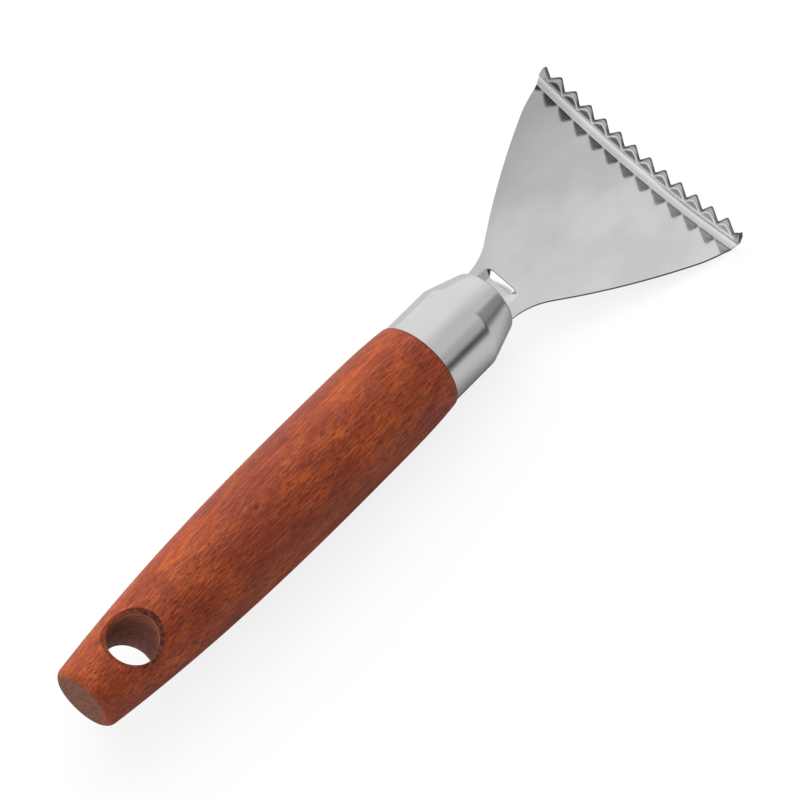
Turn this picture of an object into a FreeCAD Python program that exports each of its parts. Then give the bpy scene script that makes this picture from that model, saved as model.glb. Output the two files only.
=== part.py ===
import FreeCAD, Part
import math
import os

from FreeCAD import Vector

# A hand fish scaler: a turned wooden handle with a hanging hole, a steel ferrule pushed
# over the front of the wood, and a head pressed from one sheet of stainless steel.
# The head is a flat tang, a neck with a pressed pad, a slightly dished fan and a toothed
# lip that is turned up along the front edge.
#
# Millimetres and degrees. The pieces are made level: X runs across the head, Y runs from
# the butt of the handle to the teeth, and Z is up, on the side that the teeth point to.
# The origin is the middle of the hanging hole, on the middle line of the handle. Then the
# whole scaler is turned about the origin, as it lies on a table: it rests on the belly of
# the handle and on its right front corner.

# Handle
handle_length = 139.5        # wood that shows, from the butt to the ferrule
hole_from_butt = 18.8
hole_diameter = 14.0
hole_rim_round = 1.0
butt_width = 20.0
butt_height = 18.0
butt_edge_round = 2.5
belly_from_butt = 105.8      # where the handle is thickest
belly_width = 30.8
belly_height = 30.8
wood_proud_of_ferrule = 0.5
butt_taper_power = 2.5       # how late the handle starts to swell, seen from the butt
shoulder_taper_power = 4.0   # how late it draws in again towards the ferrule

# Ferrule
ferrule_diameter = 28.0
ferrule_wall = 0.6
ferrule_straight = 18.0
ferrule_length = 30.2
ferrule_front_diameter = 20.6
ferrule_nose_round = 1.4
ferrule_crease_round = 8.0   # where the straight part turns into the cone
ferrule_end_plate = 0.7

# Head, one pressed sheet
sheet_thickness = 0.8
dish_radius = 250.0
neck_width = 18.4
neck_in_ferrule = 1.7        # how far the full width of the neck reaches into the ferrule
neck_straight = 0.5          # straight sides of the neck in front of the ferrule
flare_radius = 26.0
flare_angle = 33.0
fan_length = 66.1            # from the front of the ferrule to the front of the lip
head_width = 79.6
head_turn = 3.0              # the head sits a little crooked in the handle

# Toothed lip
lip_height = 8.8             # from the upper face of the sheet to the tips
tooth_height = 5.0
tooth_pitch = 6.07
tooth_count = 12
tooth_tip_width = 0.4
tooth_root_round = 0.3
lip_bend_radius = 1.9
corner_tooth_lower = 1.8     # how much lower the two corner teeth end
corner_lean = 1.2            # how far a corner tooth leans in from the side of the head
corner_belly = 0.4           # how far it has leaned in half way up

# Pressed pad on the neck
pad_length = 9.6             # in front of the ferrule
pad_width = 10.4
pad_depth = 1.2
pad_wall_run = 1.2           # how far the sloping wall of the pad reaches
pad_inside_ferrule = 4.0

# Tang and the joint with the wood
tang_width = 12.0
tang_in_wood = 42.0
spigot_length = 15.5
spigot_clearance = 0.10
slot_clearance = 0.15
tang_end_clearance = 0.5

# How it lies on a table
rest_roll = 21.1             # the right side of the head goes down
rest_pitch = 1.4             # the teeth go down

# Places along Y
butt_y = -hole_from_butt
belly_y = butt_y + belly_from_butt
ferrule_y = butt_y + handle_length
ferrule_front_y = ferrule_y + ferrule_length
plate_y = ferrule_front_y - ferrule_end_plate
lip_y = ferrule_front_y + fan_length
tang_end_y = ferrule_y - tang_in_wood
spigot_end_y = ferrule_y + spigot_length

# Heights on the middle line of the head
sheet_top_z = sheet_thickness / 2
tip_z = sheet_top_z + lip_height
shoulder_width = ferrule_diameter + 2 * wood_proud_of_ferrule

MIDDLE = Vector(0, 0, 0)
EAST = Vector(1, 0, 0)
NORTH = Vector(0, 1, 0)
UP = Vector(0, 0, 1)
DISH_CENTRE = Vector(0, 0, dish_radius)
HEAD_PIVOT = Vector(0, ferrule_front_y, 0)
REACH = 2 * (handle_length + ferrule_length + fan_length)   # more than the whole scaler
OVERRUN = 2.0   # how far a cutting shape goes past what it cuts
NEAR = 0.01     # for finding edges by their place


def polygon_face(points):
    return Part.Face(Part.makePolygon(points + [points[0]]))


def turned_with_head(shape):
    """The shape after the small turn with which the head sits in the handle."""
    turned = shape.copy()
    turned.rotate(HEAD_PIVOT, UP, -head_turn)
    return turned


def handle_half_size(y, butt_size, belly_size):
    """Half the width or height of the wood at one place along it."""
    belly = belly_size / 2
    if y < belly_y:
        share = (belly_y - y) / belly_from_butt
        return belly - (belly - butt_size / 2) * share ** butt_taper_power
    share = (y - belly_y) / (ferrule_y - belly_y)
    return belly - (belly - shoulder_width / 2) * share ** shoulder_taper_power


def oval_wire(y, half_width, half_height):
    """A closed smooth oval across the handle, in four edges."""
    point_count = 24
    points = []
    for number in range(point_count):
        angle = 2 * math.pi * number / point_count
        points.append(Vector(half_width * math.cos(angle), y, half_height * math.sin(angle)))
    curve = Part.BSplineCurve()
    curve.interpolate(Points=points, PeriodicFlag=True)
    start = curve.FirstParameter
    quarter = (curve.LastParameter - start) / 4
    edges = []
    for number in range(4):
        edges.append(curve.toShape(start + quarter * number, start + quarter * (number + 1)))
    return Part.Wire(edges)


def wooden_body():
    """The turned outside of the handle, with its butt edge rounded over."""
    back_count = 7
    front_count = 4
    places = []
    for number in range(back_count):
        places.append(butt_y + belly_from_butt * number / back_count)
    for number in range(front_count + 1):
        places.append(belly_y + (ferrule_y - belly_y) * number / front_count)
    wires = []
    for y in places:
        half_width = handle_half_size(y, butt_width, belly_width)
        half_height = handle_half_size(y, butt_height, belly_height)
        wires.append(oval_wire(y, half_width, half_height))
    body = Part.makeLoft(wires, True, False)
    butt_edges = [edge for edge in body.Edges if edge.BoundBox.YMax < butt_y + NEAR]
    return body.makeFillet(butt_edge_round, butt_edges)


def revolved_about_handle(corners):
    """A solid turned about the handle's middle line from corners given as (radius, y)."""
    face = polygon_face([Vector(radius, y, 0) for radius, y in corners])
    return face.revolve(MIDDLE, NORTH, 360)


def revolved_about_dish(face, half_width):
    """A strip that follows the dish, a little wider on each side than half_width."""
    half_angle = math.degrees(math.asin((half_width + OVERRUN) / dish_radius))
    face.rotate(DISH_CENTRE, NORTH, -half_angle)
    return face.revolve(DISH_CENTRE, NORTH, 2 * half_angle)


def along_dish(shape, distance):
    """The shape moved sideways by a distance along the dished sheet."""
    moved = shape.copy()
    moved.rotate(DISH_CENTRE, NORTH, -math.degrees(distance / dish_radius))
    return moved


def tang_space(y_from, y_to, width, clearance):
    """The room that the tang or the neck needs in the wood or in the ferrule."""
    half_width = width / 2 + clearance
    half_thickness = sheet_thickness / 2 + clearance
    strip = revolved_about_dish(polygon_face([
        Vector(0, y_from, half_thickness), Vector(0, y_to, half_thickness),
        Vector(0, y_to, -half_thickness), Vector(0, y_from, -half_thickness)]), half_width)
    limits = Part.makeBox(2 * half_width, y_to - y_from, REACH,
                          Vector(-half_width, y_from, -REACH / 2))
    return turned_with_head(strip.common(limits))


def folded_strip():
    """The dished sheet with its front edge turned up, wider than the head and untrimmed."""
    inside_y = lip_y - sheet_thickness
    bend_y = inside_y - lip_bend_radius
    bend_z = sheet_top_z + lip_bend_radius
    outer_bend = lip_bend_radius + sheet_thickness
    slant = math.sqrt(0.5)

    def at(y, z):
        return Vector(0, y, z)

    edges = [
        Part.LineSegment(at(tang_end_y, -sheet_top_z), at(bend_y, -sheet_top_z)),
        Part.Arc(at(bend_y, -sheet_top_z),
                 at(bend_y + outer_bend * slant, bend_z - outer_bend * slant),
                 at(lip_y, bend_z)),
        Part.LineSegment(at(lip_y, bend_z), at(lip_y, tip_z)),
        Part.LineSegment(at(lip_y, tip_z), at(inside_y, tip_z)),
        Part.LineSegment(at(inside_y, tip_z), at(inside_y, bend_z)),
        Part.Arc(at(inside_y, bend_z),
                 at(bend_y + lip_bend_radius * slant, bend_z - lip_bend_radius * slant),
                 at(bend_y, sheet_top_z)),
        Part.LineSegment(at(bend_y, sheet_top_z), at(tang_end_y, sheet_top_z)),
        Part.LineSegment(at(tang_end_y, sheet_top_z), at(tang_end_y, -sheet_top_z)),
    ]
    face = Part.Face(Part.Wire([edge.toShape() for edge in edges]))
    return revolved_about_dish(face, head_width / 2)


def side_outline():
    """The head's right side in plan, from the end of the tang to the front corner."""
    half_tang = tang_width / 2
    half_neck = neck_width / 2
    shoulder_y = ferrule_front_y - neck_in_ferrule
    neck_y = ferrule_front_y + neck_straight
    turn = math.radians(flare_angle)
    tang_tip = Vector(half_tang, tang_end_y, 0)
    tang_top = Vector(half_tang, shoulder_y - (half_neck - half_tang), 0)
    neck_low = Vector(half_neck, shoulder_y, 0)
    neck_top = Vector(half_neck, neck_y, 0)
    flare_middle = Vector(half_neck + flare_radius * (1 - math.cos(turn / 2)),
                          neck_y + flare_radius * math.sin(turn / 2), 0)
    flare_end = Vector(half_neck + flare_radius * (1 - math.cos(turn)),
                       neck_y + flare_radius * math.sin(turn), 0)
    corner = Vector(head_width / 2, lip_y, 0)
    # the last stretch leaves the flare in its direction and curves gently to the corner
    onwards = Vector(math.sin(turn), math.cos(turn), 0) * ((corner - flare_end).Length / 2)
    fan_side = Part.BezierCurve()
    fan_side.setPoles([flare_end, flare_end + onwards, corner])
    return [
        Part.LineSegment(tang_tip, tang_top),
        Part.LineSegment(tang_top, neck_low),
        Part.LineSegment(neck_low, neck_top),
        Part.Arc(neck_top, flare_middle, flare_end),
        fan_side,
    ]


def head_outline_block():
    """A tall block with the plan shape of the head, to trim the folded strip."""
    right = [edge.toShape() for edge in side_outline()]
    left = [edge.mirror(MIDDLE, EAST) for edge in right]
    half_tang = tang_width / 2
    half_head = head_width / 2
    back = Part.makeLine(Vector(-half_tang, tang_end_y, 0), Vector(half_tang, tang_end_y, 0))
    front = Part.makeLine(Vector(-half_head, lip_y, 0), Vector(half_head, lip_y, 0))
    wire = Part.Wire(Part.sortEdges(right + left + [back, front])[0])
    block = Part.Face(wire).extrude(UP * REACH)
    block.translate(UP * (-REACH / 2))
    return block


def cut_through_lip(outline):
    """A block that goes through the lip from back to front, from points given as (x, z)."""
    start_y = lip_y - sheet_thickness - OVERRUN
    face = polygon_face([Vector(x, start_y, z) for x, z in outline])
    return face.extrude(NORTH * (sheet_thickness + 2 * OVERRUN))


def notch_between_teeth():
    """The gap between two teeth, with a small round at its bottom."""
    root_z = tip_z - tooth_height
    stretch = (tooth_height + OVERRUN) / tooth_height
    half_gap = (tooth_pitch - tooth_tip_width) / 2 * stretch
    notch = cut_through_lip([(0, root_z), (half_gap, tip_z + OVERRUN), (-half_gap, tip_z + OVERRUN)])
    root_edges = [edge for edge in notch.Edges if edge.BoundBox.ZMax < root_z + NEAR]
    return notch.makeFillet(tooth_root_round, root_edges)


def corner_trim():
    """What is taken off the outside of the right corner tooth."""
    side = head_width / 2
    lift = side ** 2 / (2 * dish_radius)
    bend_z = sheet_top_z + lip_bend_radius + lift
    tooth_z = tip_z + lift - corner_tooth_lower
    high_z = tip_z + lift + lip_height
    middle_z = (bend_z + tooth_z) / 2
    return cut_through_lip([
        (side + NEAR, bend_z), (side - corner_belly, middle_z), (side - corner_lean, tooth_z),
        (side - corner_lean - tooth_pitch, high_z), (side + tooth_pitch, high_z),
        (side + tooth_pitch, bend_z)])


def pad_block(drop, spread):
    """The pressed pad as a solid with sloping walls, lowered and widened as asked."""
    top_z = sheet_top_z - drop
    top_half = pad_width / 2 + spread
    top_front = ferrule_front_y + pad_length + spread
    top_back = ferrule_front_y - pad_inside_ferrule - spread
    rise = OVERRUN * pad_wall_run / pad_depth

    def outline(grow, z):
        corners = [Vector(-top_half - grow, top_back - grow, z),
                   Vector(top_half + grow, top_back - grow, z),
                   Vector(top_half + grow, top_front + grow, z),
                   Vector(-top_half - grow, top_front + grow, z)]
        return Part.makePolygon(corners + [corners[0]])

    return Part.makeLoft([outline(-pad_wall_run, top_z - pad_depth), outline(rise, top_z + OVERRUN)],
                         True, True)


def pad_underside(clearance):
    """The back of the pressed pad, one sheet thickness away from its front."""
    slope = math.atan2(pad_depth, pad_wall_run)
    spread = (sheet_thickness + clearance) * math.tan(slope / 2)
    below = Part.makeBox(REACH, REACH, REACH, Vector(-REACH / 2, 0, sheet_top_z - REACH))
    return pad_block(sheet_thickness + clearance, spread).common(below)


def scaler_head():
    """Tang, neck, dished fan and toothed lip in one sheet."""
    head = folded_strip().common(head_outline_block())
    notch = notch_between_teeth()
    for number in range(tooth_count + 1):
        head = head.cut(along_dish(notch, (number - tooth_count / 2) * tooth_pitch))
    trim = corner_trim()
    head = head.cut(trim).cut(trim.mirror(MIDDLE, EAST))
    head = head.fuse(pad_underside(0)).cut(pad_block(0, 0)).removeSplitter()
    return turned_with_head(head)


def ferrule():
    """The spun steel cap, open to the wood and slotted at the front for the neck."""
    outer = ferrule_diameter / 2
    front = ferrule_front_diameter / 2
    cone_y = ferrule_y + ferrule_straight
    shell = revolved_about_handle([(0, ferrule_y), (outer, ferrule_y), (outer, cone_y),
                                   (front, ferrule_front_y), (0, ferrule_front_y)])
    nose = [edge for edge in shell.Edges
            if edge.BoundBox.YMin > ferrule_front_y - NEAR and edge.BoundBox.XLength > front]
    shell = shell.makeFillet(ferrule_nose_round, nose)
    crease = [edge for edge in shell.Edges
              if abs(edge.BoundBox.YMin - cone_y) < NEAR and edge.BoundBox.YLength < NEAR]
    shell = shell.makeFillet(ferrule_crease_round, crease)
    lean = math.atan2(outer - front, ferrule_front_y - cone_y)
    inner = outer - ferrule_wall
    inner_cone_y = cone_y - ferrule_wall * math.tan(lean / 2)
    inner_front = inner - (plate_y - inner_cone_y) * math.tan(lean)
    inside = revolved_about_handle([(0, ferrule_y), (inner, ferrule_y), (inner, inner_cone_y),
                                    (inner_front, plate_y), (0, plate_y)])
    neck_slot = tang_space(plate_y - OVERRUN, ferrule_front_y + OVERRUN, neck_width, slot_clearance)
    pad_way = turned_with_head(pad_underside(slot_clearance))
    return shell.cut(inside).cut(neck_slot).cut(pad_way)


def handle():
    """The wood: turned body, spigot for the ferrule, slot for the tang, hanging hole."""
    hole_radius = hole_diameter / 2
    bore = Part.makeCylinder(hole_radius, REACH, UP * (-REACH / 2), UP)
    body = wooden_body().cut(bore)
    rims = []
    for edge in body.Edges:
        box = edge.BoundBox
        at_bore = max(box.XMax, -box.XMin, box.YMax, -box.YMin) < hole_radius + NEAR
        if at_bore and box.YLength > hole_radius:
            rims.append(edge)
    body = body.makeFillet(hole_rim_round, rims)
    spigot_radius = ferrule_diameter / 2 - ferrule_wall - spigot_clearance
    spigot = Part.makeCylinder(spigot_radius, spigot_length + OVERRUN,
                               NORTH * (ferrule_y - OVERRUN), NORTH)
    tang_slot = tang_space(tang_end_y - tang_end_clearance, spigot_end_y + OVERRUN,
                           tang_width, slot_clearance)
    return body.fuse(spigot).cut(tang_slot)


def save(name, shape):
    """Lays one piece down as on the table, writes it and says what it is."""
    shape.rotate(MIDDLE, NORTH, rest_roll)
    shape.rotate(MIDDLE, EAST, -rest_pitch)
    shape.exportStep("parts/" + name + ".step")
    box = shape.optimalBoundingBox()
    print(name, "solids", len(shape.Solids), "valid", shape.isValid(),
          "volume %.1f" % shape.Volume)
    print("   x %.2f..%.2f" % (box.XMin, box.XMax), "y %.2f..%.2f" % (box.YMin, box.YMax),
          "z %.2f..%.2f" % (box.ZMin, box.ZMax))


os.makedirs("parts", exist_ok=True)
save("scaler_head", scaler_head())
save("ferrule", ferrule())
save("handle", handle())
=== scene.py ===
# %% [markdown]
# # A hand fish scaler
# The scaler has three real pieces: a turned wooden handle, a spun steel ferrule and a head
# that is pressed from one sheet of stainless steel. The imported model gives their places, and
# this lesson makes each piece again with the finer forms and the finishes that a buyer sees.
# The first cell loads the imported model and keeps its box.

# %% Load the imported model
import math

import bpy
from mathutils import Euler, Matrix, Vector, noise


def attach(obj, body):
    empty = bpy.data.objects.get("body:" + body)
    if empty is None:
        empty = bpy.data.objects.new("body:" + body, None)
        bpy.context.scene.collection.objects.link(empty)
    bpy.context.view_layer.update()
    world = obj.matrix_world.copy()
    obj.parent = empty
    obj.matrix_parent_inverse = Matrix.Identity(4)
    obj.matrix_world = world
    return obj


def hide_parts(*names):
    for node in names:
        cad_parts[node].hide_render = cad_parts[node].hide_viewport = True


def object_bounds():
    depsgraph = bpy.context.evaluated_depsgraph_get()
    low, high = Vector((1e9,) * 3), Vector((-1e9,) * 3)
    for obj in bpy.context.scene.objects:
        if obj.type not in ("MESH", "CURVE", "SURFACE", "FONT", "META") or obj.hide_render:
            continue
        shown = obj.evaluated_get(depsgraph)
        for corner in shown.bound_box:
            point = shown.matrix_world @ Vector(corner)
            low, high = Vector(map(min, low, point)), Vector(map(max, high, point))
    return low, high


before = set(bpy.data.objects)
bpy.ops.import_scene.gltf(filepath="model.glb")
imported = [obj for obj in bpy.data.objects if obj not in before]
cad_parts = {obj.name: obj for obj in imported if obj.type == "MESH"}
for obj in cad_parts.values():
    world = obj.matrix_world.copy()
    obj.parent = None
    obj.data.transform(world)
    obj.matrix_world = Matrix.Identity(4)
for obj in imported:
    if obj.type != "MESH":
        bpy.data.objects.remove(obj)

CAD_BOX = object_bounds()
MM = 0.001
print("nodes", sorted(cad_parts), "box", [list(corner) for corner in CAD_BOX])

# %% [markdown]
# ## The sizes
# Every size is in millimetres and belongs to the real object. The pieces are made level: X
# runs across the head, Y along the handle, and Z is up, on the side that the teeth point to.
# The middle of the hanging hole is the origin. A scaler on a table leans over on the round
# belly of its handle until a front corner of the head touches, so each finished piece is
# turned by the same two small angles at the end.

# %% The sizes of the real object
REST_ROLL = 21.1
REST_PITCH = 1.4
FERRULE_Y = 120.7
FERRULE_FRONT_Y = 150.9
FERRULE_RADIUS = 14.0
HEAD_TURN = 3.0
SHEET = 0.8
DISH_RADIUS = 250.0
LAY_DOWN = (Matrix.Rotation(math.radians(-REST_PITCH), 4, "X")
            @ Matrix.Rotation(math.radians(REST_ROLL), 4, "Y"))
print("the scaler leans", REST_ROLL, "degrees")

# %% [markdown]
# ## Small tools for modelling
# Operators act on all that is selected, so each step first selects only what it needs. The
# helpers below do what a hand does in the window: pick a piece, apply a modifier, spin a
# profile and turn a finished piece as it lies. Two of the three pieces are turned ones, so
# the spin is a helper too.

# %% Helpers for picking and applying
def pick(piece):
    bpy.ops.object.select_all(action="DESELECT")
    piece.select_set(True)
    bpy.context.view_layer.objects.active = piece


def apply_modifier(piece, kind, **settings):
    """Adds a modifier with its settings and applies it at once."""
    pick(piece)
    modifier = piece.modifiers.new(kind.title(), kind)
    for name, value in settings.items():
        setattr(modifier, name, value)
    bpy.ops.object.modifier_apply(modifier=modifier.name)


def spin_profile(name, points, lines, steps, axis):
    """A new piece: a profile, as places in millimetres, spun once round an axis."""
    mesh = bpy.data.meshes.new(name)
    mesh.from_pydata([(x * MM, y * MM, z * MM) for x, y, z in points], lines, [])
    piece = bpy.data.objects.new(name, mesh)
    bpy.context.scene.collection.objects.link(piece)
    pick(piece)
    bpy.ops.object.mode_set(mode="EDIT")
    bpy.ops.mesh.select_all(action="SELECT")
    bpy.ops.mesh.spin(steps=steps, angle=2 * math.pi, center=(0, 0, 0), axis=axis)
    bpy.ops.mesh.select_all(action="SELECT")
    bpy.ops.mesh.remove_doubles(threshold=0.01 * MM)
    bpy.ops.object.mode_set(mode="OBJECT")
    return piece


def face_outwards(piece):
    """Turns all faces of a closed piece outwards."""
    pick(piece)
    bpy.ops.object.mode_set(mode="EDIT")
    bpy.ops.mesh.select_all(action="SELECT")
    bpy.ops.mesh.normals_make_consistent(inside=False)
    bpy.ops.object.mode_set(mode="OBJECT")


def name_piece(piece, name):
    piece.name = name
    piece.data.name = name
    piece.data.materials.clear()


def lay_on_table(piece):
    """Turns a finished level piece as it lies on the table, and bakes that into its mesh."""
    piece.matrix_world = LAY_DOWN
    pick(piece)
    bpy.ops.object.transform_apply(location=True, rotation=True, scale=True)


def smooth(piece, degrees):
    pick(piece)
    bpy.ops.object.shade_smooth_by_angle(angle=math.radians(degrees))


def blend_step(value, start, end):
    """0 before start, 1 after end, and a soft curve between."""
    share = min(max((value - start) / (end - start), 0.0), 1.0)
    return share * share * (3 - 2 * share)


print("helpers ready")

# %% [markdown]
# ## Shader maths as plain sums
# A finish is easier to read as a sum than as a list of nodes. `Wire` stands for a socket and
# knows plus, minus and times. `Finish` is one material, and its single method `node` makes
# any node from its type, its settings and what its sockets get.

# %% A wire and a finish
class Wire:
    """A number that varies over a surface."""

    def __init__(self, finish, socket):
        self.finish = finish
        self.socket = socket

    def __add__(self, other):
        return self.finish.maths("ADD", self, other)

    def __radd__(self, other):
        return self.finish.maths("ADD", other, self)

    def __sub__(self, other):
        return self.finish.maths("SUBTRACT", self, other)

    def __rsub__(self, other):
        return self.finish.maths("SUBTRACT", other, self)

    def __mul__(self, other):
        return self.finish.maths("MULTIPLY", self, other)

    def __rmul__(self, other):
        return self.finish.maths("MULTIPLY", other, self)


class Finish:
    """One node tree: a material or the world."""

    def __init__(self, tree):
        self.tree = tree
        tree.nodes.clear()

    def node(self, kind, settings=None, sockets=None, out=0):
        made = self.tree.nodes.new("ShaderNode" + kind)
        for name, value in (settings or {}).items():
            setattr(made, name, value)
        for key, value in (sockets or {}).items():
            socket = made.inputs[key]
            if isinstance(value, Wire):
                self.tree.links.new(value.socket, socket)
            else:
                socket.default_value = value
        if not made.outputs:
            return made
        return Wire(self, made.outputs[out])

    def maths(self, operation, first, second):
        return self.node("Math", {"operation": operation}, {0: first, 1: second})

    def rise(self, value, start, end):
        """0 before start, 1 after end, and a soft curve between."""
        return self.node("MapRange", {"interpolation_type": "SMOOTHSTEP"},
                         {"Value": value, "From Min": start, "From Max": end})

    def mix(self, share, first, second):
        """A colour between two colours."""
        return self.node("Mix", {"data_type": "RGBA"}, {0: share, 6: first, 7: second}, 2)

    def clouds(self, place, detail=3.0, rough=0.5, scale=1.0):
        return self.node("TexNoise", None,
                         {"Vector": place, "Scale": scale, "Detail": detail, "Roughness": rough})

    def bump(self, height, strength, distance):
        return self.node("Bump", None,
                         {"Height": height, "Strength": strength, "Distance": distance * MM})


def grey(value):
    return (value, value, value, 1.0)


def colour_of(text):
    """A linear colour from a hex colour as seen on screen."""
    parts = [int(text[place:place + 2], 16) / 255 for place in (0, 2, 4)]
    return tuple(((part + 0.055) / 1.055) ** 2.4 if part > 0.04 else part / 12.92
                 for part in parts) + (1.0,)


print("shader tools ready")

# %% [markdown]
# All finishes are painted on the level scaler in millimetres. `level_place` takes a point of
# the lying mesh, turns it back by the two angles of rest and scales it, so that grain runs
# along the handle and rings run round the ferrule.

# %% A place on the level scaler, in millimetres
def level_place(finish, stretch=(1.0, 1.0, 1.0)):
    place = finish.node("TexCoord", out=3)
    turned = finish.node("Mapping", None, {
        "Vector": place, "Scale": (1 / MM, 1 / MM, 1 / MM),
        "Rotation": (math.radians(REST_PITCH), math.radians(-REST_ROLL), 0.0)})
    if stretch == (1.0, 1.0, 1.0):
        return turned
    return finish.node("VectorMath", {"operation": "MULTIPLY"}, {0: turned, 1: stretch})


def split_place(finish, place):
    """The three numbers of a place, as wires."""
    return [finish.node("SeparateXYZ", None, {0: place}, axis) for axis in range(3)]


def new_finish(name):
    material = bpy.data.materials.new(name)
    material.use_nodes = True
    return material, Finish(material.node_tree)


def close_finish(finish, **sockets):
    """Adds the shader and the output. Fixed numbers go on the shader's own sockets."""
    shader = finish.node("BsdfPrincipled", None,
                         {name.replace("_", " "): value for name, value in sockets.items()})
    finish.node("OutputMaterial", None, {0: shader})


print("level place ready")

# %% [markdown]
# ## The camera
# The photograph was taken from well above, from behind the right side of the handle, with a
# long lens and a small roll. The camera is a distance, two angles and a roll about the point
# that it looks at, so the numbers can be read and changed.

# %% Camera at the photograph's angle
AIM = Vector((1.820, 110.272, -4.975)) * MM
CAMERA_AZIMUTH = 50.473
CAMERA_ELEVATION = 47.954
CAMERA_ROLL = 14.301
CAMERA_DISTANCE = 1094.113
LENS = 176.9

azimuth = math.radians(CAMERA_AZIMUTH)
elevation = math.radians(CAMERA_ELEVATION)
back = Vector((math.sin(azimuth) * math.cos(elevation),
               -math.cos(azimuth) * math.cos(elevation), math.sin(elevation)))
bpy.ops.object.camera_add(location=AIM + back * CAMERA_DISTANCE * MM)
camera = bpy.context.object
camera.name = "photo_camera"
look = (-back).to_track_quat("-Z", "Y")
roll = Euler((0, 0, -math.radians(CAMERA_ROLL))).to_quaternion()
camera.rotation_euler = (look @ roll).to_euler()
camera.data.sensor_width = 36.0
camera.data.lens = LENS
camera.data.clip_start = 0.01
bpy.context.scene.camera = camera
bpy.context.scene.view_settings.view_transform = "Standard"
print("camera at", [round(value, 3) for value in camera.location])

# %% [markdown]
# ## The studio
# The scaler stands on a plain white table. Polished steel shows what is around it, so the
# room matters as much as the lamps. It is bright on the left and low behind the camera, and
# dark overhead where the camera hangs. To the right it is dimmer in steps, which gives the
# ferrule its grey stripe and the dark line beside it. The camera itself sees plain white.

# %% The room
world = bpy.data.worlds.new("studio_room")
world.use_nodes = True
bpy.context.scene.world = world
room = Finish(world.node_tree)
direction = room.node("Mapping", None, {
    "Vector": room.node("TexCoord"),
    "Rotation": (math.radians(REST_PITCH), math.radians(-REST_ROLL), 0.0)})
to_right, to_teeth, upwards = split_place(room, direction)

# Ahead of the scaler: what the blade and the ferrule mirror.
ahead_light = 0.88 - 0.25 * room.rise(to_right, -0.5, 0.05)
ahead_light = ahead_light - 0.16 * room.rise(to_right, 0.40, 0.56)
low_right = room.rise(to_right, 0.5, 0.75) * room.rise(upwards, 0.58, 0.40)
ahead_light = ahead_light - 0.40 * low_right
far_ahead = room.rise(to_teeth, 0.6, 0.8) * room.rise(to_right, 0.14, 0.26)
ahead_light = ahead_light - 0.34 * far_ahead

# Overhead and behind: what the teeth and the front wall of the pad mirror.
overhead_light = 0.34 - 0.29 * room.rise(to_right, -0.5, 0.0)
slant = room.maths("DIVIDE", 0 - to_teeth, room.maths("MAXIMUM", upwards, 0.05))
from_overhead = room.rise(slant, 0.62, 0.80)
low_light = 1.05 - 0.34 * room.rise(upwards, 0.05, 0.45) + 0.7 * room.rise(upwards, 0.55, 0.68)
behind_light = overhead_light * (1 - from_overhead) + low_light * from_overhead
behind_light = behind_light * (1 - 0.7 * room.rise(to_right, 0.3, 0.8))

# The two halves together. The camera's own rays see white.
is_behind = room.rise(slant, -0.1, 0.25)
room_light = ahead_light * (1 - is_behind) + behind_light * is_behind
seen = room.node("LightPath", out=0)
brightness = room_light * (1 - seen) + seen
room.node("OutputWorld", None, {0: room.node("Background", None, {
    "Color": grey(1.0), "Strength": brightness})})
print("room ready")


# %% The lamps
def soft_lamp(name, towards, distance, width, height, power):
    """A rectangular soft lamp that looks at the scaler from a direction.

    Steel would mirror it as a hard white patch, so it lights but is not mirrored.
    """
    place = AIM + Vector(towards).normalized() * distance
    bpy.ops.object.light_add(type="AREA", location=place)
    lamp = bpy.context.object
    lamp.name = name
    lamp.data.shape = "RECTANGLE"
    lamp.data.size = width
    lamp.data.size_y = height
    lamp.data.energy = power
    lamp.rotation_euler = (AIM - place).to_track_quat("-Z", "Y").to_euler()
    lamp.visible_glossy = False


soft_lamp("left_softbox", (-0.55, 0.25, 0.8), 1.3, 1.1, 1.1, 13.5)
soft_lamp("top_softbox", (0.15, -0.2, 1.0), 1.6, 0.9, 0.9, 5.0)

# %% [markdown]
# ## The table
# A very large plane at the height of the lowest point. Its material is a plain white, lifted to
# paper white for the camera, with a little of the scaler's shadow left in it. What polished
# steel mirrors of it is a painted reflection: a greyer table, painted dark far out on the right.

# %% The table
TABLE_SIZE = 12.0
PAPER_LIFT = 0.84
FAR_FLOOR = (0.16, 0.34)   # metres from the hole, where the mirrored table gets dark
bpy.ops.mesh.primitive_plane_add(size=TABLE_SIZE, location=(0, 0, CAD_BOX[0][2]))
table = bpy.context.object
name_piece(table, "table")
bpy.ops.object.transform_apply(location=True, rotation=True, scale=True)
table_material, table_finish = new_finish("table_white")
table_place = table_finish.node("TexCoord", out=3)
paper = table_finish.clouds(table_place, 2.0, 0.5, 40.0)
plain = table_finish.mix(paper, grey(0.80), grey(0.83))
away = table_finish.node("VectorMath", {"operation": "LENGTH"}, {0: table_place}, 1)
east = split_place(table_finish, table_place)[0]
# Painted reflection: steel sees the table greyer, and painted nearly black far out on the right.
far_dark_reflection = table_finish.rise(away, *FAR_FLOOR) * table_finish.rise(east, 0.0, 0.05)
mirrored = table_finish.mix(far_dark_reflection, grey(0.45), grey(0.09))
in_steel = table_finish.node("LightPath", out=3)
matte = table_finish.node("BsdfDiffuse", None, {
    "Color": table_finish.mix(in_steel * 0.9, plain, mirrored)})
glow = table_finish.node("Emission", None, {"Color": grey(1.0), "Strength": 1.0})
lifted = table_finish.node("LightPath", out=0) * PAPER_LIFT
table_finish.node("OutputMaterial", None, {
    0: table_finish.node("MixShader", None, {0: lifted, 1: matte, 2: glow})})
table.data.materials.append(table_material)
print("table at", round(CAD_BOX[0][2], 4))

# %% [markdown]
# ## The wood
# The handle is a reddish tropical wood under a thin satin oil. Its colour is a slow mottle of
# orange and dark red, broken by short dark pores that all run along the handle. The mottle
# and the pores are clouds that are stretched along the grain. The end of the handle shows
# end grain and the wall of the hole shows the drill, so both are greyer and rougher.

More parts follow.
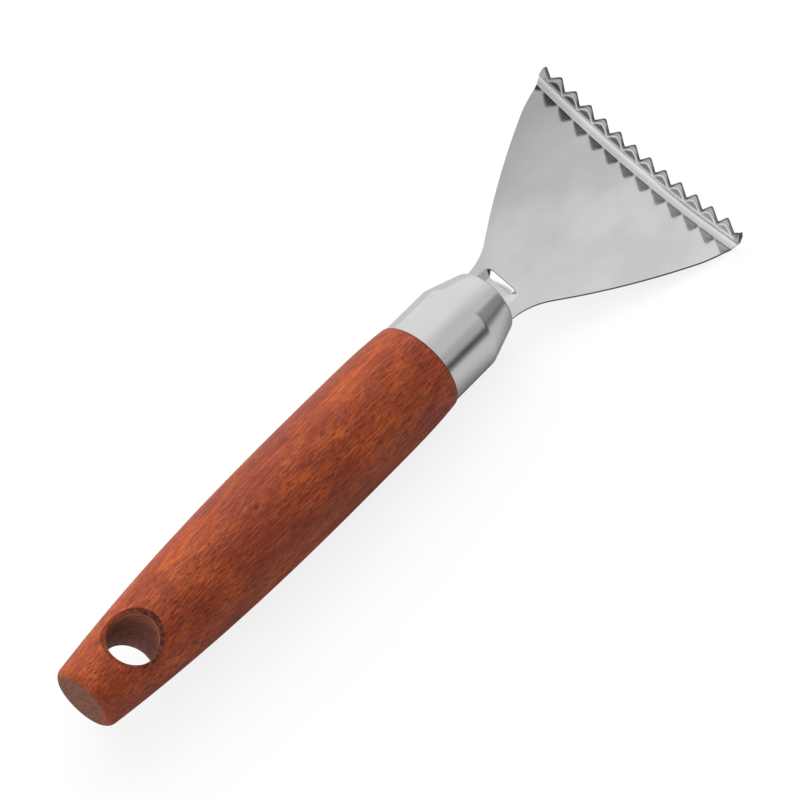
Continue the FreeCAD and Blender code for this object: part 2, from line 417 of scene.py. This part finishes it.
# %% Wood finish
HOLE_RADIUS = 7.0
BUTT_Y = -18.8

wood_material, wood = new_finish("handle_wood")
across, along = split_place(wood, level_place(wood))[:2]
mottle = wood.clouds(level_place(wood, (0.20, 0.08, 0.20)), 4.0, 0.6)
patches = wood.clouds(level_place(wood, (0.07, 0.03, 0.07)), 2.0, 0.5)
flecks = wood.clouds(level_place(wood, (1.9, 0.32, 1.9)), 3.0, 0.65)
threads = wood.clouds(level_place(wood, (2.6, 0.07, 2.6)), 3.0, 0.65)
pores = wood.rise(wood.clouds(level_place(wood, (3.9, 0.45, 3.9)), 2.0, 0.5), 0.52, 0.64)
straight_grain = 1 - wood.rise(across + 6.0 * mottle, -4.0, 2.0)

body_colour = wood.mix(wood.rise(mottle, 0.36, 0.66), colour_of("923819"), colour_of("B8531F"))
body_colour = wood.mix(wood.rise(patches, 0.46, 0.64) * 0.6, body_colour, colour_of("7E3020"))
body_colour = wood.mix(wood.rise(flecks, 0.42, 0.66) * (1 - straight_grain) * 0.85,
                       body_colour, colour_of("742C16"))
body_colour = wood.mix(wood.rise(threads, 0.42, 0.64) * (0.35 + 0.4 * straight_grain),
                       body_colour, colour_of("78301A"))
body_colour = wood.mix(wood.rise(threads, 0.5, 0.3) * 0.4, body_colour, colour_of("CC6C34"))
body_colour = wood.mix(pores * (0.7 - 0.3 * straight_grain), body_colour, colour_of("4C1D12"))
# Painted shade: a thin dark strip on the wood at the ferrule's edge, for the shadow in the gap
# between them.
shoulder_shade_line = wood.rise(along, FERRULE_Y - 0.45, FERRULE_Y - 0.05)
body_colour = wood.mix(shoulder_shade_line * 0.8, body_colour, colour_of("3A1A12"))

from_hole = wood.node("Math", {"operation": "SQRT"}, {0: across * across + along * along})
in_hole = 1 - wood.rise(from_hole, HOLE_RADIUS + 0.05, HOLE_RADIUS + 0.3)
on_rim = (1 - wood.rise(from_hole, HOLE_RADIUS + 1.2, HOLE_RADIUS + 1.7)) * (1 - in_hole)
turning = wood.clouds(level_place(wood, (0.25, 0.25, 2.6)), 3.0, 0.6)
hole_colour = wood.mix(wood.rise(turning, 0.35, 0.65), colour_of("74483A"), colour_of("A26C56"))
body_colour = wood.mix(in_hole * 0.85, body_colour, hole_colour)
rim_break = wood.clouds(level_place(wood, (0.9, 0.9, 0.9)), 3.0, 0.6)
rim_colour = wood.mix(wood.rise(rim_break, 0.4, 0.62), colour_of("6E3A28"), colour_of("301610"))
far_side = wood.rise(along + 0.6 * across, -6.0, 3.0)
body_colour = wood.mix(on_rim * (0.45 + 0.45 * far_side), body_colour, rim_colour)

end_face = 1 - wood.rise(along, BUTT_Y + 0.02, BUTT_Y + 0.25)
end_face = end_face * (1 - wood.rise(across, 5.2, 7.2))
end_grain = wood.clouds(level_place(wood, (1.2, 0.3, 2.4)), 4.0, 0.65)
end_colour = wood.mix(wood.rise(end_grain, 0.35, 0.65), colour_of("57342A"), colour_of("8C5742"))
body_colour = wood.mix(end_face * 0.9, body_colour, end_colour)

grain_height = 0.4 * threads + 0.6 * flecks - 0.7 * pores - 2.0 * on_rim * rim_break
wood_sheen = 0.44 + 0.14 * pores + 0.3 * in_hole + 0.22 * end_face + 0.3 * on_rim
close_finish(wood, Base_Color=body_colour, Roughness=wood_sheen,
             Normal=wood.bump(grain_height, 0.6, 0.10),
             Specular_IOR_Level=0.26, Coat_Weight=0.05, Coat_Roughness=0.3)
print("wood finish with", len(wood.tree.nodes), "nodes")

# %% [markdown]
# ## The handle
# The real handle was turned, drilled across near its end, and rounded by hand. The packed
# solid already has the exact body, so its mesh is copied and its loose triangles are merged.
# The new work is at the hole, where the drill broke the wood and left a rough, flared rim.
# A cutter with that rough form is spun, shaken by noise and taken away from both ends.

# %% Copy of the turned body
def copy_of_node(node, name):
    """A merged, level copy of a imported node."""
    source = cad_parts[node]
    piece = bpy.data.objects.new(name, source.data.copy())
    bpy.context.scene.collection.objects.link(piece)
    pick(piece)
    piece.data.transform(LAY_DOWN.inverted())
    name_piece(piece, name)
    bpy.ops.object.mode_set(mode="EDIT")
    bpy.ops.mesh.select_all(action="SELECT")
    bpy.ops.mesh.remove_doubles(threshold=0.002 * MM)
    bpy.ops.mesh.customdata_custom_splitnormals_clear()
    bpy.ops.object.mode_set(mode="OBJECT")
    return piece


handle = copy_of_node("handle", "turned_handle")
print("handle faces", len(handle.data.polygons))


# %% A cutter for the broken rim
BELLY_Y = 87.0
BELLY_HALF = 15.4
BUTT_HALF_WIDTH = 10.0
BUTT_HALF_HEIGHT = 9.0
BUTT_TAPER = 2.5
RIM_STEPS = 150
ROUGH_RADII = (7.05, 8.9)      # the ring of the cutter that is shaken
ROUGH_HEIGHTS = (-2.5, 2.0)    # and the heights between which it is
ROUGHEST_TURN = math.radians(60)
SLOW_SHAKE = 0.22
FAST_SHAKE = 0.16
HEIGHT_SHAKE = 0.22
RIM_PROFILE = [(0.0, -14.0), (9.0, -14.0), (8.75, -0.8), (8.5, -0.12), (8.42, 0.05), (8.3, 0.32),
               (8.1, 0.42), (7.9, 0.55), (7.7, 0.72), (7.5, 0.88), (7.3, 1.02), (7.12, 1.2),
               (6.98, 1.5), (6.8, 2.0), (0.0, 2.0)]


def wood_top(x, y):
    """Height of the handle's surface over its middle line near the hole."""
    share = (max(BELLY_Y - y, 0.0) / (BELLY_Y - BUTT_Y)) ** BUTT_TAPER
    wide = BELLY_HALF - (BELLY_HALF - BUTT_HALF_WIDTH) * share
    high = BELLY_HALF - (BELLY_HALF - BUTT_HALF_HEIGHT) * share
    return high * math.sqrt(max(1 - (x / wide) ** 2, 0.0))


def rim_cutter(side):
    """A spun cutter for one end of the hole. The profile is (radius, depth under the wood)."""
    cutter = spin_profile("rim_cutter", [(radius, 0, -depth) for radius, depth in RIM_PROFILE],
                          [(number, number + 1) for number in range(len(RIM_PROFILE) - 1)],
                          RIM_STEPS, (0, 0, 1))
    for point in cutter.data.vertices:
        x, y, z = point.co / MM
        radius = math.hypot(x, y)
        turn = math.atan2(y, x)
        roughness = 0.35 + 0.65 * max(math.cos(turn - ROUGHEST_TURN), 0.0)
        slow = noise.noise(Vector((2.2 * math.cos(turn), 2.2 * math.sin(turn), 5.0 * side)))
        fast = noise.noise(Vector((x * 1.7, y * 1.7, z * 2.0 + 9.0 * side)))
        in_ring = ROUGH_RADII[0] < radius < ROUGH_RADII[1]
        if in_ring and ROUGH_HEIGHTS[0] < z < ROUGH_HEIGHTS[1]:
            shaken = radius + roughness * (SLOW_SHAKE * slow + FAST_SHAKE * fast)
            x, y = x * shaken / radius, y * shaken / radius
            z += roughness * HEIGHT_SHAKE * fast
        top = wood_top(x, y) if radius > 1.0 else wood_top(0.0, y)
        point.co = Vector((x, y, side * (top + z))) * MM
    face_outwards(cutter)
    return cutter


for side in (1, -1):
    cutter = rim_cutter(side)
    apply_modifier(handle, "BOOLEAN", object=cutter, operation="DIFFERENCE", solver="EXACT")
    bpy.data.objects.remove(cutter)
print("handle faces with its rims", len(handle.data.polygons))

# %% Finish the handle
smooth(handle, 35)
handle.data.materials.append(wood_material)
lay_on_table(handle)
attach(handle, "root")
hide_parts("handle")
print("handle done")

# %% [markdown]
# ## The ferrule steel
# The ferrule was polished on a lathe, so its fine lines run round it. They are clouds that
# are stretched around the handle's axis: dense along Y and nearly still across it.

# %% Ferrule finish
ferrule_material, lathe = new_finish("ferrule_steel")
rings = lathe.clouds(level_place(lathe, (0.05, 7.0, 0.05)), 3.0, 0.7)
fine_rings = lathe.clouds(level_place(lathe, (0.12, 26.0, 0.12)), 2.0, 0.5)
haze = lathe.clouds(level_place(lathe, (0.12, 0.12, 0.12)), 3.0, 0.5)
ferrule_colour = lathe.mix(haze, grey(0.72), grey(0.80))
ferrule_colour = lathe.mix(lathe.rise(fine_rings, 0.4, 0.7) * 0.2, ferrule_colour, grey(0.66))
close_finish(lathe, Base_Color=ferrule_colour, Metallic=1.0,
             Roughness=0.12 + 0.05 * rings + 0.03 * haze,
             Normal=lathe.bump(rings + 0.5 * fine_rings, 0.06, 0.01))
print("ferrule finish with", len(lathe.tree.nodes), "nodes")

# %% [markdown]
# ## The ferrule
# A cap like this is spun from a disc, so it is drawn here as a half profile and spun round
# the handle's axis. The profile goes up the outside, over the round nose, across the end
# plate to the middle, and back along the inside. The slot for the neck is cut last.

# %% The profile
WALL = 0.6
CONE_Y = 138.7
CONE_FRONT_RADIUS = 10.3
NOSE_ROUND = 1.5
CREASE_ROUND = 3.0
END_PLATE = 0.7
EDGE_BEVEL = 0.25
HOLD = 0.25


def rounded_corner(before, corner, after, radius, steps):
    """Points of an arc that rounds a corner of a profile given as (radius, y).

    One more point on each side holds the shading of the straight parts flat.
    """
    corner = Vector(corner)
    to_before = (Vector(before) - corner).normalized()
    to_after = (Vector(after) - corner).normalized()
    half = to_before.angle(to_after) / 2
    reach = radius / math.tan(half)
    centre = corner + (to_before + to_after).normalized() * (radius / math.sin(half))
    start = corner + to_before * reach - centre
    end = corner + to_after * reach - centre
    sweep = start.angle_signed(end)
    arc = [centre + Matrix.Rotation(-sweep * step / steps, 2) @ start
           for step in range(steps + 1)]
    return [arc[0] + to_before * HOLD] + arc + [arc[-1] + to_after * HOLD]


crease = (FERRULE_RADIUS, CONE_Y)
nose = (CONE_FRONT_RADIUS, FERRULE_FRONT_Y)
outside = [(FERRULE_RADIUS - EDGE_BEVEL, FERRULE_Y), (FERRULE_RADIUS, FERRULE_Y + EDGE_BEVEL)]
outside += rounded_corner(outside[-1], crease, nose, CREASE_ROUND, 6)
outside += rounded_corner(crease, nose, (0, FERRULE_FRONT_Y), NOSE_ROUND, 8)
inside = [(0, FERRULE_FRONT_Y), (0, FERRULE_FRONT_Y - END_PLATE),
          (CONE_FRONT_RADIUS - WALL - 0.2, FERRULE_FRONT_Y - END_PLATE),
          (FERRULE_RADIUS - WALL, CONE_Y), (FERRULE_RADIUS - WALL, FERRULE_Y + 0.1),
          (FERRULE_RADIUS - WALL + 0.15, FERRULE_Y)]
profile = [tuple(point) for point in outside] + inside
print("profile points", len(profile))

# %% Spin it and cut the slot
ROUND_STEPS = 144
SLOT_SIZE = (18.7, 4.0, 1.1)
ferrule = spin_profile("spun_ferrule", [(radius, y, 0) for radius, y in profile],
                       [(number, (number + 1) % len(profile)) for number in range(len(profile))],
                       ROUND_STEPS, (0, 1, 0))
pick(ferrule)
bpy.ops.object.mode_set(mode="EDIT")
bpy.ops.mesh.select_all(action="SELECT")
bpy.ops.mesh.dissolve_degenerate(threshold=0.001 * MM)
bpy.ops.object.mode_set(mode="OBJECT")
face_outwards(ferrule)
bpy.ops.mesh.primitive_cube_add(size=1.0, location=(0, FERRULE_FRONT_Y * MM, 0))
slot_cutter = bpy.context.object
slot_cutter.scale = Vector(SLOT_SIZE) * MM
slot_cutter.rotation_euler = (0, 0, -math.radians(HEAD_TURN))
bpy.ops.object.transform_apply(location=True, rotation=True, scale=True)
apply_modifier(ferrule, "BOOLEAN", object=slot_cutter, operation="DIFFERENCE", solver="EXACT")
bpy.data.objects.remove(slot_cutter)
smooth(ferrule, 30)
ferrule.data.materials.append(ferrule_material)
lay_on_table(ferrule)
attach(ferrule, "root")
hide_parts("ferrule")
print("ferrule faces", len(ferrule.data.polygons))

# %% [markdown]
# ## The steel of the head
# The sheet is polished well enough for the teeth to mirror in it. What is seen besides is a
# faint cloud of polishing haze, some hair scratches and the darker, rougher cut edge of the
# sheet. Two numbers that are stored on the mesh tell the cut edge from the faces, and the
# strip of a tooth beside its edge, which the punch drew over, from the rest.

# %% Head finish
head_material, polish = new_finish("head_steel")
cut_edge = polish.node("Attribute", {"attribute_name": "cut_edge"}, out=2)
haze = polish.clouds(level_place(polish, (0.06, 0.04, 0.06)), 3.0, 0.5)
scratches = polish.clouds(level_place(polish, (5.0, 0.12, 5.0)), 2.0, 0.6)
side_scratches = polish.clouds(level_place(polish, (0.15, 4.0, 0.15)), 2.0, 0.6)
steel_colour = polish.mix(polish.rise(haze, 0.3, 0.7), grey(0.68), grey(0.79))
drawn_edge = polish.node("Attribute", {"attribute_name": "drawn_edge"}, out=2)
# Painted shade: the steel is painted darker towards the head's left side.
painted_left_shade = 1 - polish.rise(split_place(polish, level_place(polish))[0], -33.0, -8.0)
steel_colour = polish.mix(painted_left_shade * 0.8, steel_colour, grey(0.54))
# The strip of each tooth beside its edge is painted much darker.
steel_colour = polish.mix(drawn_edge * 0.85, steel_colour, grey(0.17))
steel_colour = polish.mix(cut_edge * 0.9, steel_colour, grey(0.13))
close_finish(polish, Base_Color=steel_colour, Metallic=1.0,
             Roughness=0.09 + 0.05 * haze + 0.02 * scratches + 0.2 * cut_edge,
             Normal=polish.bump(scratches + side_scratches, 0.03, 0.004))
print("head finish with", len(polish.tree.nodes), "nodes")

# %% [markdown]
# ## The head
# The head starts as one flat grid, as the real one starts as one flat sheet. Its rows are
# placed along the head and its columns across it, closer together where a form is small: at
# the pad, at the bend and in the teeth. The grid is then shaped row by row, the way a press
# does it: the sides are drawn in to the neck, the pad is pushed down, the front is folded up
# into a lip, the lip's edge is cut into teeth and the whole is dished.

# %% Rows and columns
TANG_END_Y = 78.7
TANG_HALF = 6.0
NECK_HALF = 9.2
SHOULDER_Y = 149.2
TANG_TOP_Y = SHOULDER_Y - (NECK_HALF - TANG_HALF)
FLARE_START_Y = 151.4
FLARE_RADIUS = 26.0
FLARE_ANGLE = math.radians(33.0)
LIP_Y = 217.0
HEAD_HALF = 39.8
FOLD_Y = 214.5
TIP_HEIGHT = 9.2
TOOTH_SLOPE = 1.76
TIP_ROUND = 0.45
TOOTH_PITCH = 6.07
TOOTH_COUNT = 12
ROW_SHIFT = 0.4
ROOT_ROUND = 0.2           # how far the sheet stands up in the root of a notch
ROOT_ROUND_REACH = 0.4
HORN_HEIGHT = 7.6
HORN_TIP_SHARE = {1: 0.86, -1: 0.8}    # where each corner horn is highest
HORN_SPREAD = {1: 0.45, -1: 0.1}       # how far each leans out at its tip
HORN_CURL = 0.8
FRONT_DRAWN_IN = 0.9
DRAWN_IN_FROM_Y = 205.0
LIP_SPREAD = 1.4

# The pressed pad, and the rows of the sheet that follow its steep front wall
PAD_MIDDLE = -0.9
PAD_HALF = 5.6
PAD_FRONT_Y = 160.1
PAD_DEPTH = 1.25
PAD_FRONT_RUN = 1.8
PAD_SIDE_RUN = 2.4
PAD_CORNER = 1.9
PAD_BACK_Y = (146.0, 147.2)
PAD_ROWS = [157.8 + 0.1 * number for number in range(28)]

tooth_steps = [0.0, 0.15, 0.35, 0.8, 1.3, 1.8, 2.3, 2.65, 2.85, 3.035,
               3.22, 3.42, 3.77, 4.27, 4.77, 5.27, 5.72, 5.92]
first_notch = ROW_SHIFT - TOOTH_PITCH * TOOTH_COUNT / 2
last_notch = ROW_SHIFT + TOOTH_PITCH * TOOTH_COUNT / 2
columns = [first_notch + TOOTH_PITCH * tooth + step
           for tooth in range(TOOTH_COUNT) for step in tooth_steps] + [last_notch]
corner_shares = [0.06, 0.14, 0.28, 0.42, 0.56, 0.68, 0.78, 0.86, 0.92, 0.96, 1.0]
left_columns = [first_notch - (HEAD_HALF + first_notch) * share
                for share in reversed(corner_shares)]
right_columns = [last_notch + (HEAD_HALF - last_notch) * share for share in corner_shares]
columns = left_columns + columns + right_columns

sheet_rows = [TANG_END_Y, 95.0, 110.0, 125.0, 136.0, 143.0, TANG_TOP_Y]
sheet_rows += [TANG_TOP_Y + 0.4 * number for number in range(1, 42)]
while sheet_rows[-1] < FOLD_Y - 2.6:
    sheet_rows.append(sheet_rows[-1] + 2.0)
sheet_rows += [FOLD_Y - 0.8, FOLD_Y]
sheet_rows = [y for y in sheet_rows if not PAD_ROWS[0] - 0.1 < y < PAD_ROWS[-1] + 0.1]
sheet_rows = sorted(sheet_rows + PAD_ROWS)
lip_shares = [0.15, 0.3, 0.44, 0.56, 0.66, 0.74, 0.81, 0.87, 0.92, 0.96, 0.985, 1.0]

# The fold is not round: two tight turns with a nearly flat strip between them.
TIGHT_TURN = 0.6
FLAT_TURN = 9.0
fold_turns = [(angle, TIGHT_TURN) for angle in (11, 22, 33, 44)]
fold_turns += [(angle, FLAT_TURN) for angle in (47, 50, 53, 56, 60)]
fold_turns += [(angle, TIGHT_TURN) for angle in (67, 74, 82, 90)]
fold_line = [Vector((0.0, 0.0))]
last_angle = 0.0
for angle, radius in fold_turns:
    middle = math.radians((angle + last_angle) / 2)
    stretch = radius * math.radians(angle - last_angle)
    fold_line.append(fold_line[-1] + stretch * Vector((math.cos(middle), math.sin(middle))))
    last_angle = angle
LIP_MIDDLE_Y = FOLD_Y + fold_line[-1].x
LIP_START = fold_line[-1].y
print("columns", len(columns), "lip middle", round(LIP_MIDDLE_Y, 2),
      "lip start", round(LIP_START, 2))


# %% The forms of the head
def half_width(y):
    """Half the width of the flat sheet at a place along it."""
    if y <= TANG_TOP_Y:
        return TANG_HALF
    if y < SHOULDER_Y:
        return TANG_HALF + (y - TANG_TOP_Y)
    if y < FLARE_START_Y:
        return NECK_HALF
    flare_end_y = FLARE_START_Y + FLARE_RADIUS * math.sin(FLARE_ANGLE)
    if y < flare_end_y:
        drop = math.sqrt(FLARE_RADIUS ** 2 - (y - FLARE_START_Y) ** 2)
        return NECK_HALF + FLARE_RADIUS - drop
    start = Vector((NECK_HALF + FLARE_RADIUS * (1 - math.cos(FLARE_ANGLE)), flare_end_y))
    corner = Vector((HEAD_HALF, LIP_Y))
    flare_way = Vector((math.sin(FLARE_ANGLE), math.cos(FLARE_ANGLE)))
    middle = start + flare_way * (corner - start).length / 2
    low, high = 0.0, 1.0
    for _ in range(30):
        share = (low + high) / 2
        point = start.lerp(middle, share).lerp(middle.lerp(corner, share), share)
        low, high = (share, high) if point.y < y else (low, share)
    return point.x - FRONT_DRAWN_IN * blend_step(y, DRAWN_IN_FROM_Y, FOLD_Y)


def between_corners(u, half):
    """A column's place when the sheet is this wide and the row of teeth keeps its size."""
    if u > last_notch:
        share = (u - last_notch) / (HEAD_HALF - last_notch)
        return last_notch + share * (half - last_notch)
    if u < first_notch:
        share = (u - first_notch) / (-HEAD_HALF - first_notch)
        return first_notch + share * (-half - first_notch)
    return u


def pad_drop(x, y):
    """How far the pressed pad lowers the sheet at a place."""
    outside_x = (abs(x - PAD_MIDDLE) - (PAD_HALF - PAD_CORNER)) * PAD_FRONT_RUN / PAD_SIDE_RUN
    outside_y = y - (PAD_FRONT_Y - PAD_CORNER)
    beyond = math.hypot(max(outside_x, 0.0), max(outside_y, 0.0))
    inward = PAD_CORNER - beyond - min(max(outside_x, outside_y), 0.0)
    share = min(max(inward / PAD_FRONT_RUN, 0.0), 1.0)
    return PAD_DEPTH * share * blend_step(y, *PAD_BACK_Y)


def edge_height(u):
    """Height of the lip's edge over the sheet at a place across it."""
    if first_notch <= u <= last_notch:
        from_notch = (u - first_notch) % TOOTH_PITCH
        from_tip = abs(from_notch - TOOTH_PITCH / 2)
        from_notch = min(from_notch, TOOTH_PITCH - from_notch)
        root_round = ROOT_ROUND * max(1 - from_notch / ROOT_ROUND_REACH, 0.0) ** 2
        fall = TOOTH_SLOPE * (math.hypot(from_tip, TIP_ROUND) - TIP_ROUND)
        return TIP_HEIGHT - fall + root_round
    root = edge_height(last_notch)
    end = last_notch if u > 0 else first_notch
    share = (u - end) / (math.copysign(HEAD_HALF, u) - end)
    tip_share = HORN_TIP_SHARE[1 if u > 0 else -1]
    if share < tip_share:
        return root + (HORN_HEIGHT - root) * (share / tip_share) ** 0.95
    return HORN_HEIGHT - 1.6 * ((share - tip_share) / (1 - tip_share)) ** 1.6


def dished(x, y, lift):
    """A point of the level head, from its place across, along and above the sheet."""
    angle = math.asin(x / DISH_RADIUS)
    return Vector(((DISH_RADIUS - lift) * math.sin(angle), y,
                   DISH_RADIUS - (DISH_RADIUS - lift) * math.cos(angle)))


print("widest", round(half_width(FOLD_Y), 2), "root", round(edge_height(last_notch), 2))

# %% Shape the grid
row_count = len(sheet_rows) + len(fold_turns) + len(lip_shares)
bpy.ops.mesh.primitive_grid_add(x_subdivisions=len(columns) - 1,
                                y_subdivisions=row_count - 1, size=1.0)
head = bpy.context.object
name_piece(head, "pressed_head")
grid_points = sorted(head.data.vertices, key=lambda point: (round(point.co.y, 6), point.co.x))
for number, point in enumerate(grid_points):
    row, column = divmod(number, len(columns))
    u = columns[column]
    if row < len(sheet_rows):
        y = sheet_rows[row]
        half = half_width(y)
        squeezed = u / HEAD_HALF * half
        kept = between_corners(u, max(half, last_notch + 0.3))
        share = blend_step(y, 209.0, FOLD_Y)
        x = squeezed + (kept - squeezed) * share
        place = dished(x, y, -pad_drop(x, y))
    elif row < len(sheet_rows) + len(fold_turns):
        step = fold_line[row - len(sheet_rows) + 1]
        half = half_width(FOLD_Y) + LIP_SPREAD * step.y / LIP_START
        place = dished(between_corners(u, half), FOLD_Y + step.x, step.y)
    else:
        share = lip_shares[row - len(sheet_rows) - len(fold_turns)]
        lift = LIP_START + (edge_height(u) - LIP_START) * share
        half = half_width(FOLD_Y) + LIP_SPREAD + HORN_SPREAD[1 if u > 0 else -1] * share
        curl = HORN_CURL * max((u - last_notch) / (HEAD_HALF - last_notch), 0.0) ** 2
        place = dished(between_corners(u, half), LIP_MIDDLE_Y - curl * share, lift)
    point.co = place * MM
print("grid shaped, points", len(grid_points))

# %% [markdown]
# The grid has no thickness yet. Solidify gives it the sheet's 0.8 mm, half to each side, and
# marks the new rim faces. The punch that cuts the teeth also draws their inner edges over, so
# the points of the inner face near a tooth's edge are moved outwards along a curve. Bevel then
# takes the sharpness off the cut edges, as tumbling does on the real head. The rim marks and
# the drawn-over strip become numbers on the mesh, which the finish reads. At the end the head
# is turned a little about the front of the ferrule, because it sits crooked in the handle.

# %% Thickness and drawn-over edges
ROLLED_DEPTH = 0.50        # how far a tooth's edge is drawn over
ROLLED_HEIGHT = 1.8        # how far under the edge that starts
ARCH_RISE = 0.9            # how much higher it starts in the middle of a tooth
ARCH_FROM_HEIGHT = 6.5
TEETH_HALF = 36.0


def on_flat_sheet(place):
    """A point of the dished head as its place across the flat sheet and its height over it."""
    lift = DISH_RADIUS - math.hypot(place.x, DISH_RADIUS - place.z)
    return DISH_RADIUS * math.atan2(place.x, DISH_RADIUS - place.z), lift


def under_edge(u, lift):
    """How far under the lip's edge a point of the lip is."""
    return edge_height(max(min(u, HEAD_HALF), -HEAD_HALF)) - lift


head.data.materials.append(head_material)
head.data.materials.append(None)   # a second slot, only to mark the rim's faces
apply_modifier(head, "SOLIDIFY", thickness=SHEET * MM, offset=0.0, use_even_offset=True,
               material_offset_rim=1)
for point in head.data.vertices:
    place = point.co / MM
    u, lift = on_flat_sheet(place)
    behind_lip = LIP_MIDDLE_Y - SHEET <= place.y <= LIP_MIDDLE_Y - 0.1
    if not behind_lip or lift < LIP_START:
        continue
    edge = edge_height(u) if abs(u) < TEETH_HALF else 0.0
    arch = ARCH_RISE * blend_step(edge, ARCH_FROM_HEIGHT, TIP_HEIGHT)
    share = max(1 - max(under_edge(u, lift) - arch, 0.0) / ROLLED_HEIGHT, 0.0)
    point.co.y += ROLLED_DEPTH * share ** 2 * MM
print("head points with thickness", len(head.data.vertices))

# %% Soft edges and the two marks
DARK_EDGE_STRIP = (0.35, 1.15)   # millimetres under the edge, over which the dark strip fades
apply_modifier(head, "BEVEL", width=0.08 * MM, segments=2, limit_method="ANGLE",
               angle_limit=math.radians(50), use_clamp_overlap=True)
marks = head.data.attributes.new("cut_edge", "FLOAT", "FACE")
for face, mark in zip(head.data.polygons, marks.data):
    mark.value = float(face.material_index)
    face.material_index = 0
head.data.materials.pop(index=1)
dark_edge_marks = head.data.attributes.new("drawn_edge", "FLOAT", "POINT")
for point, mark in zip(head.data.vertices, dark_edge_marks.data):
    place = point.co / MM
    u, lift = on_flat_sheet(place)
    if lift > LIP_START and place.y < LIP_MIDDLE_Y + 0.1:
        mark.value = 1 - blend_step(under_edge(u, lift), *DARK_EDGE_STRIP)
print("marked faces", len(marks.data), "marked points", len(dark_edge_marks.data))

# %% Turn the head and finish it
head.data.transform(Matrix.Translation((0, FERRULE_FRONT_Y * MM, 0))
                    @ Matrix.Rotation(-math.radians(HEAD_TURN), 4, "Z")
                    @ Matrix.Translation((0, -FERRULE_FRONT_Y * MM, 0)))
smooth(head, 38)
lay_on_table(head)
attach(head, "root")
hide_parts("scaler_head")
print("head faces", len(head.data.polygons))
